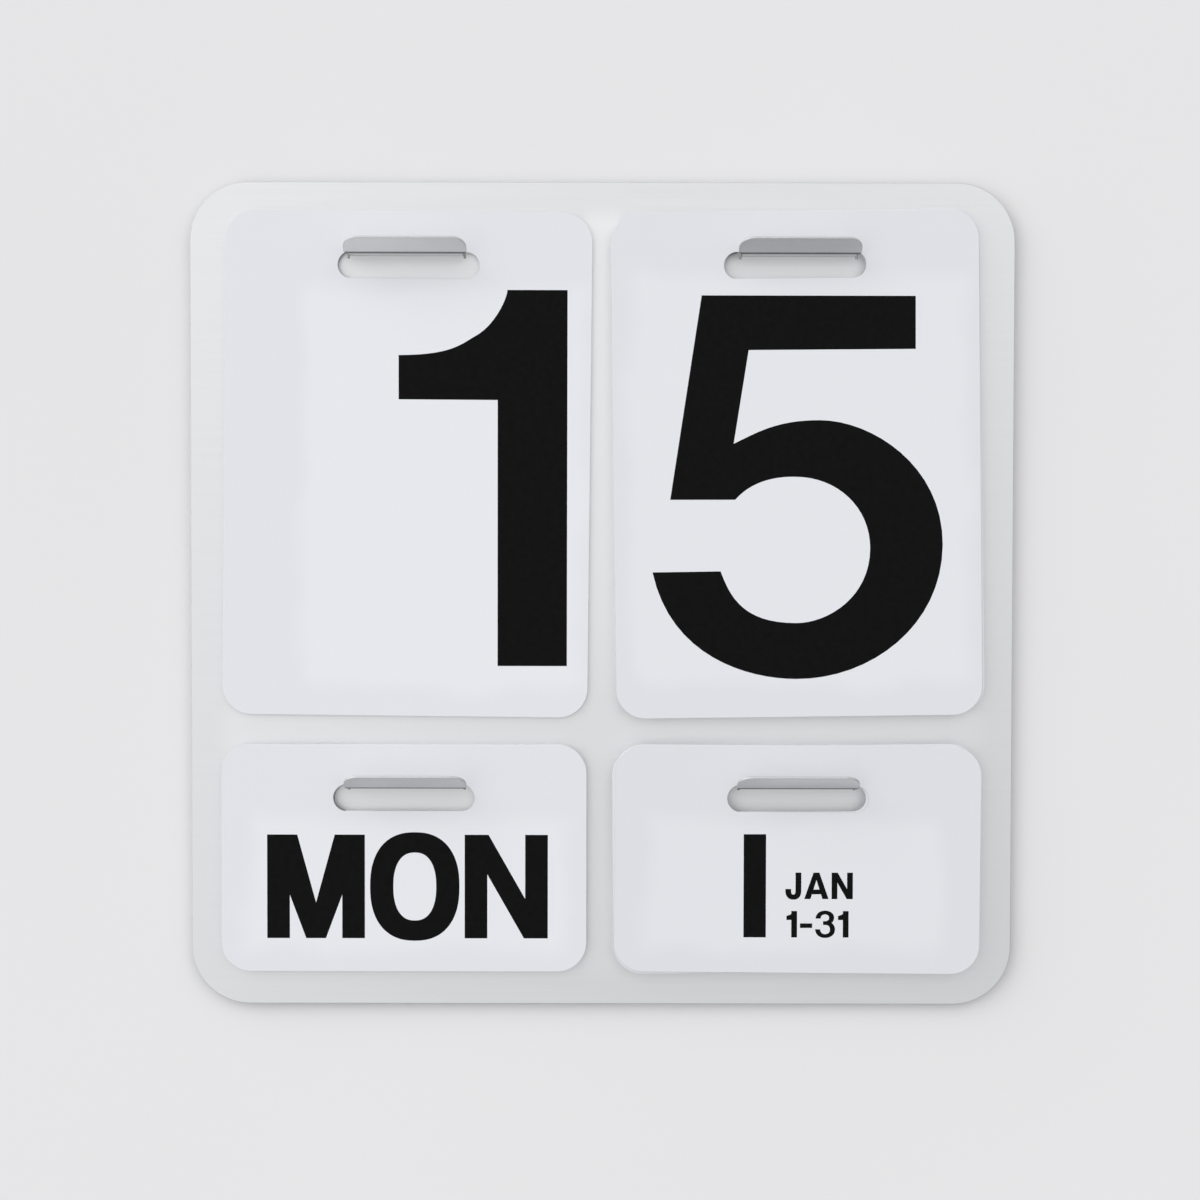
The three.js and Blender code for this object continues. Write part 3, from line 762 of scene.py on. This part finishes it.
# ---------------------------------------------------------------- materials
class Nodes:
    """A material's node tree, with short names for what the materials below use."""

    def __init__(self, name):
        self.mat = bpy.data.materials.new(name)
        self.mat.use_nodes = True
        self.tree = self.mat.node_tree
        self.tree.nodes.clear()
        self.out = self.tree.nodes.new("ShaderNodeOutputMaterial")
        self.bsdf = self.tree.nodes.new("ShaderNodeBsdfPrincipled")
        self.link(self.bsdf.outputs[0], self.out.inputs[0])
        self.where = self.tree.nodes.new("ShaderNodeTexCoord").outputs["Object"]

    def link(self, a, b):
        self.tree.links.new(a, b)

    def set(self, **values):
        for k, v in values.items():
            self.bsdf.inputs[k.replace("_", " ")].default_value = v

    def noise(self, scale, detail=2.0, rough=0.5):
        """Noise with its own scale along each axis, in waves per metre."""
        m = self.tree.nodes.new("ShaderNodeMapping")
        m.inputs["Scale"].default_value = scale
        self.link(self.where, m.inputs["Vector"])
        n = self.tree.nodes.new("ShaderNodeTexNoise")
        n.inputs["Scale"].default_value = 1.0
        n.inputs["Detail"].default_value = detail
        n.inputs["Roughness"].default_value = rough
        self.link(m.outputs[0], n.inputs["Vector"])
        return n.outputs[0]

    def ramp(self, value, lo, hi, a, b, smooth=False):
        """value from lo to hi as a number from a to b."""
        n = self.tree.nodes.new("ShaderNodeMapRange")
        n.interpolation_type = "SMOOTHSTEP" if smooth else "LINEAR"
        for k, v in zip(("From Min", "From Max", "To Min", "To Max"), (lo, hi, a, b)):
            n.inputs[k].default_value = v
        self.link(value, n.inputs["Value"])
        return n.outputs[0]

    def math(self, kind, a, b):
        n = self.tree.nodes.new("ShaderNodeMath")
        n.operation = kind
        for s, v in zip(n.inputs, (a, b)):
            if isinstance(v, (int, float)):
                s.default_value = v
            else:
                self.link(v, s)
        return n.outputs[0]

    def mix(self, fac, a, b):
        n = self.tree.nodes.new("ShaderNodeMix")
        n.data_type = "RGBA"
        self.link(fac, n.inputs["Factor"])
        for s, v in ((n.inputs[6], a), (n.inputs[7], b)):
            if isinstance(v, tuple):
                s.default_value = (*v, 1)
            else:
                self.link(v, s)
        return n.outputs[2]

    def bump(self, height, strength, distance, under=None):
        n = self.tree.nodes.new("ShaderNodeBump")
        n.inputs["Strength"].default_value = strength
        n.inputs["Distance"].default_value = distance
        self.link(height, n.inputs["Height"])
        if under is not None:
            self.link(under, n.inputs["Normal"])
        return n.outputs[0]

    def colour(self, v):
        self.link(v, self.bsdf.inputs["Base Color"])

    def roughness(self, v):
        self.link(v, self.bsdf.inputs["Roughness"])

    def normal(self, v):
        self.link(v, self.bsdf.inputs["Normal"])


def brushed_aluminium():
    """Satin anodised sheet with fine level brush lines, some longer and deeper than the rest. Its front is painted a
    little
    brighter in the gaps between the packs: painted light, a tone correction that lifts the shade this depth and light
    give there. It isn't a finish that can be seen."""
    m = Nodes("brushed_anodised_aluminium")
    m.set(Metallic=1.0)
    split = m.tree.nodes.new("ShaderNodeSeparateXYZ")
    m.link(m.where, split.inputs[0])
    x, z = split.outputs[0], split.outputs[2]
    # Painted light: a mask for the plate's front in the gaps between the packs, which is painted brighter.
    from_middle = m.math("ABSOLUTE", x, 0)
    from_gap = m.math("ABSOLUTE", m.math("SUBTRACT", z, GAP_Z * MM), 0)
    upright = m.math("MULTIPLY", m.ramp(from_middle, 4.5 * MM, 9 * MM, 1, 0, True), m.ramp(m.math("ABSOLUTE", z, 0), 138 * MM, 148 * MM, 1, 0, True))
    upright = m.math("MULTIPLY", upright, m.ramp(z, -70 * MM, 20 * MM, 0.4, 1, True))
    level = m.math("MULTIPLY", m.ramp(from_gap, 5.0 * MM, 9.5 * MM, 1, 0, True), m.ramp(from_middle, 138 * MM, 148 * MM, 0.45, 0, True))
    painted_light = m.math("MULTIPLY", m.math("MAXIMUM", upright, level), m.ramp(split.outputs[1], (PLATE_FRONT + 0.1) * MM, (PLATE_FRONT + 0.5) * MM, 1, 0))
    fine = m.noise((26, 26, 2600), 3.0, 0.6)
    broad = m.noise((7, 7, 520), 2.0, 0.5)
    cloud = m.noise((9, 9, 16), 2.0, 0.5)
    both = m.math("ADD", m.math("MULTIPLY", fine, 0.6), m.math("MULTIPLY", broad, 0.4))
    tone = m.mix(m.ramp(both, 0.32, 0.68, 0, 1), PLATE_DARK, PLATE_LIGHT)
    tone = m.mix(m.ramp(cloud, 0.3, 0.7, 0.0, 0.25), tone, PLATE_LIGHT)
    m.colour(m.mix(painted_light, tone, PLATE_PAINTED_LIGHT))
    m.roughness(m.ramp(both, 0.3, 0.7, 0.46, 0.50))
    m.normal(m.bump(both, 0.10, 0.00006))
    return m.mat


def cut_metal():
    """The sheet's cut edge: duller and rougher than its face, with short marks across the thickness."""
    m = Nodes("cut_aluminium_edge")
    m.set(Metallic=1.0)
    marks = m.noise((700, 60, 700), 3.0, 0.6)
    m.colour(m.mix(m.ramp(marks, 0.3, 0.7, 0, 1), EDGE_DARK, EDGE_LIGHT))
    m.roughness(m.ramp(marks, 0.3, 0.7, 0.56, 0.66))
    m.normal(m.bump(marks, 0.10, 0.00004))
    return m.mat


def folded_metal():
    """Painted shade: a dark line along the outside of each fold between shelf and lip, standing in for the shade under
    each lip. That the satin skin is crazed along the fold is a guess.
    """
    m = Nodes("painted_fold_shade")
    m.set(Metallic=1.0)
    marks = m.noise((500, 2600, 2600), 3.0, 0.6)
    m.colour(m.mix(m.ramp(marks, 0.3, 0.7, 0, 1), (0.24, 0.243, 0.25), (0.34, 0.343, 0.35)))
    m.roughness(m.ramp(marks, 0.3, 0.7, 0.52, 0.62))
    m.normal(m.bump(marks, 0.12, 0.00004))
    return m.mat


def cut_plastic():
    """The cards' punched edge, greyer than the face: partly the cut edge's own duller colour, partly painted shade that
    gives the cards a dark outline.
    """
    m = Nodes("punched_card_edge")
    m.set(IOR=1.46)
    marks = m.noise((500, 500, 500), 2.0, 0.5)
    m.colour(m.mix(m.ramp(marks, 0.3, 0.7, 0, 1), PUNCHED_DARK, PUNCHED_LIGHT))
    m.roughness(m.ramp(marks, 0.3, 0.7, 0.55, 0.65))
    return m.mat


def rubbed_plastic():
    """Painted shade at the slot's left end: a dark material, a tone correction for the shadow that falls there."""
    m = Nodes("painted_slot_end_shade")
    m.set(IOR=1.46)
    streaks = m.noise((90, 2400, 90), 3.0, 0.6)
    m.colour(m.mix(m.ramp(streaks, 0.3, 0.7, 0, 1), (0.16, 0.162, 0.168), (0.27, 0.273, 0.28)))
    m.roughness(m.ramp(streaks, 0.3, 0.7, 0.5, 0.62))
    return m.mat


def card_plastic(name, tone, x0, x1, z0, z1):
    """White semi-matt sheet. A field about the print is a little lighter than the margin, with a soft edge: from x0 to
    x1 and z0 to z1 about the slot, in millimetres. tone scales the pack's white: lighter for the packs on the left,
    darker for those on the right."""
    m = Nodes(name)
    m.set(IOR=1.46)
    split = m.tree.nodes.new("ShaderNodeSeparateXYZ")
    m.link(m.where, split.inputs[0])
    wobble = m.ramp(m.noise((28, 28, 28), 2.0), 0.3, 0.7, -0.003, 0.003)
    x, z = m.math("ADD", split.outputs[0], wobble), m.math("ADD", split.outputs[2], wobble)
    soft = 5.0 * MM
    field = m.math("MULTIPLY", m.ramp(x, x0 * MM - soft, x0 * MM + soft, 0, 1, True), m.ramp(x, x1 * MM - soft, x1 * MM + soft, 1, 0, True))
    field = m.math("MULTIPLY", field, m.math("MULTIPLY", m.ramp(z, z0 * MM - soft, z0 * MM + soft, 0, 1, True), m.ramp(z, z1 * MM - soft, z1 * MM + soft, 1, 0, True)))
    shade = lambda c: tuple(v * tone for v in c)
    field_and_margin = m.mix(field, shade(CARD_MARGIN), shade(CARD_FIELD))
    grain = m.noise((900, 900, 900), 3.0, 0.6)
    m.colour(m.mix(m.ramp(grain, 0.35, 0.65, 0.0, 0.22), field_and_margin, shade(CARD_GRAIN)))
    m.roughness(m.ramp(m.noise((60, 60, 60), 3.0), 0.3, 0.7, 0.42, 0.52))
    m.normal(m.bump(grain, 0.08, 0.00003, m.bump(m.noise((11, 11, 11), 1.0), 0.06, 0.0006)))
    return m.mat


def printing_ink():
    """Dense matt black, screened on: a faint orange peel and slightly uneven cover."""
    m = Nodes("printing_ink")
    m.set(Specular_IOR_Level=0.055)
    cover = m.noise((420, 420, 420), 4.0, 0.6)
    m.colour(m.mix(m.ramp(cover, 0.3, 0.7, 0, 1), (0.0034, 0.0034, 0.0036), (0.0054, 0.0054, 0.0056)))
    m.roughness(m.ramp(cover, 0.3, 0.7, 0.42, 0.58))
    m.normal(m.bump(m.noise((1600, 1600, 1600), 2.0), 0.08, 0.00002))
    return m.mat


def zinc_plate():
    """Bright zinc on pressed steel: pale, with soft grey blotches and drawing marks along the strip."""
    m = Nodes("zinc_plated_steel")
    m.set(Metallic=1.0)
    blotch = m.noise((160, 160, 160), 3.0, 0.6)
    marks = m.noise((18, 900, 900), 3.0, 0.6)
    tone = m.mix(m.ramp(blotch, 0.35, 0.65, 0, 1), (0.56, 0.57, 0.58), (0.72, 0.725, 0.72))
    m.colour(m.mix(m.ramp(marks, 0.45, 0.7, 0, 0.35), tone, (0.44, 0.45, 0.46)))
    m.roughness(m.ramp(blotch, 0.3, 0.7, 0.3, 0.46))
    m.normal(m.bump(marks, 0.18, 0.00006))
    return m.mat


def bumper_rubber():
    """Cloudy soft polyurethane."""
    m = Nodes("cloudy_bumper_rubber")
    m.set(Subsurface_Weight=0.35, Subsurface_Scale=0.002, Subsurface_Radius=(1.0, 1.0, 1.0), IOR=1.45)
    cloud = m.noise((260, 260, 260), 3.0, 0.55)
    m.colour(m.mix(m.ramp(cloud, 0.3, 0.7, 0, 1), (0.50, 0.515, 0.51), (0.62, 0.63, 0.62)))
    m.roughness(m.ramp(cloud, 0.3, 0.7, 0.26, 0.4))
    m.normal(m.bump(m.noise((1500, 1500, 1500), 2.0), 0.06, 0.00004))
    return m.mat


def wall_paint():
    """Pale matt wall with a hardly visible roller texture."""
    m = Nodes("wall_paint")
    m.set(Specular_IOR_Level=0.1)
    cloud = m.noise((4, 4, 4), 2.0)
    m.colour(m.mix(m.ramp(cloud, 0.3, 0.7, 0, 1), WALL_DARK, WALL_LIGHT))
    m.roughness(m.ramp(cloud, 0.3, 0.7, 0.8, 0.9))
    m.normal(m.bump(m.noise((700, 700, 700), 3.0), 0.05, 0.00004))
    return m.mat


# The third plate colour is painted light, for the plate's front in the gaps between the packs.
PLATE_DARK, PLATE_LIGHT, PLATE_PAINTED_LIGHT = (0.807, 0.814, 0.824), (0.835, 0.842, 0.852), (0.905, 0.912, 0.922)
GAP_Z = (HOOK_Z_UPPER + HOOK_Z_LOWER - CARD_H_UPPER) / 2 + SLOT_BELOW_TOP
EDGE_DARK, EDGE_LIGHT = (0.55, 0.555, 0.565), (0.64, 0.645, 0.655)
PUNCHED_DARK, PUNCHED_LIGHT = (0.68, 0.685, 0.71), (0.74, 0.745, 0.77)
CARD_MARGIN, CARD_FIELD, CARD_GRAIN = (0.745, 0.752, 0.79), (0.79, 0.797, 0.835), (0.77, 0.778, 0.81)
WALL_DARK, WALL_LIGHT = (0.782, 0.777, 0.787), (0.794, 0.789, 0.799)
FIELDS = {  # each pack's tone, and the soft edge of the lighter field about the print and the slot
    "tens": (1.008, -39.0, 66.0, -163.5, -12.5),
    "units": (0.979, -62.0, 64.5, -162.0, -8.5),
    "weekday": (1.0, -58.5, 61.5, -62.0, -12.0),
    "month": (0.962, -56.5, 54.5, -61.5, -12.5),
}

plate = make_plate()
cards = make_cards()
bumpers = make_bumpers()
bracket = make_bracket()

plate.data.materials.append(brushed_aluminium())
plate.data.materials.append(cut_metal())
plate.data.materials.append(folded_metal())
ink, punched, slot_shade = printing_ink(), cut_plastic(), rubbed_plastic()
for pack, obj in cards:
    name = "card_plastic_" + pack
    obj.data.materials.append(bpy.data.materials.get(name) or card_plastic(name, *FIELDS[pack]))
    obj.data.materials.append(punched)
    obj.data.materials.append(slot_shade)
    if any(p.material_index == INKED for p in obj.data.polygons):
        obj.data.materials.append(ink)
rubber = bumper_rubber()
for obj in bumpers:
    obj.data.materials.append(rubber)
bracket.data.materials.append(zinc_plate())


# ---------------------------------------------------------------- studio: a pale wall, open behind the plate's middle
def make_wall():
    """The wall's face is at y = 0. Its opening is hidden by the plate, and lets the back be seen from behind."""
    reach = 3000.0
    loops = [rounded_box(-reach, reach, -reach, reach, 10, 2), no_repeats(rounded_box(-146, 146, -146, 146, 15, 16))[::-1]]
    v, f, _, _ = triangulate([np.array(loop) for loop in loops], [], [])
    mesh = bpy.data.meshes.new("wall")
    mesh.from_pydata([(x * MM, 0.00005, z * MM) for x, z in v], [], [tuple(int(i) for i in t) for t in f])
    wall = bpy.data.objects.new("wall", mesh)
    bpy.context.scene.collection.objects.link(wall)
    mesh.materials.append(wall_paint())


def make_world():
    """Soft room light as broad round glows, each given by its azimuth, elevation, strength and tightness. Azimuth 0 is in
    front of the wall, -90 is to the left. A large bright glow at the upper left does most of the work."""
    world = bpy.data.worlds.new("studio")
    bpy.context.scene.world = world
    world.use_nodes = True
    t = world.node_tree
    t.nodes.clear()
    where = t.nodes.new("ShaderNodeTexCoord").outputs["Generated"]

    def node(kind, a, b):
        n = t.nodes.new("ShaderNodeMath")
        n.operation = kind
        for s, x in zip(n.inputs, (a, b)):
            if isinstance(x, (int, float)):
                s.default_value = x
            else:
                t.links.new(x, s)
        return n.outputs[0]

    level = None
    for azimuth, elevation, strength, tight in GLOWS:
        a, e = math.radians(azimuth), math.radians(elevation)
        dot = t.nodes.new("ShaderNodeVectorMath")
        dot.operation = "DOT_PRODUCT"
        t.links.new(where, dot.inputs[0])
        dot.inputs[1].default_value = (math.sin(a) * math.cos(e), -math.cos(a) * math.cos(e), math.sin(e))
        glow = node("MULTIPLY", node("POWER", node("MAXIMUM", dot.outputs["Value"], 0.0), tight), strength)
        level = glow if level is None else node("ADD", level, glow)
    background = t.nodes.new("ShaderNodeBackground")
    background.inputs[0].default_value = (0.992, 0.997, 1.0, 1)
    t.links.new(level, background.inputs[1])
    out = t.nodes.new("ShaderNodeOutputWorld")
    t.links.new(background.outputs[0], out.inputs[0])


GLOWS = [(-75, 42, 2.17, 8), (-38, 42, 0.71, 8), (0, 42, 0.34, 8), (38, 42, 1.23, 8)]
GLOWS += [(-80, 12, 1.22, 8), (-40, 12, 0.87, 8), (40, 12, 0.89, 8), (80, 12, 0.31, 8)]
GLOWS += [(-80, -24, 0.35, 8), (-40, -24, 0.89, 8), (0, -24, 0.415, 8), (40, -24, 0.31, 8)]
GLOWS += [(0, -84, 0.52, 8), (-155, 45, 0.5, 3), (140, 30, 3.6, 12), (-130, -20, 2.0, 12), (130, -20, 1.4, 12)]
make_wall()
make_world()
view = bpy.context.scene.view_settings
view.view_transform, view.look, view.exposure, view.gamma = "Standard", "None", 0.0, 1.0
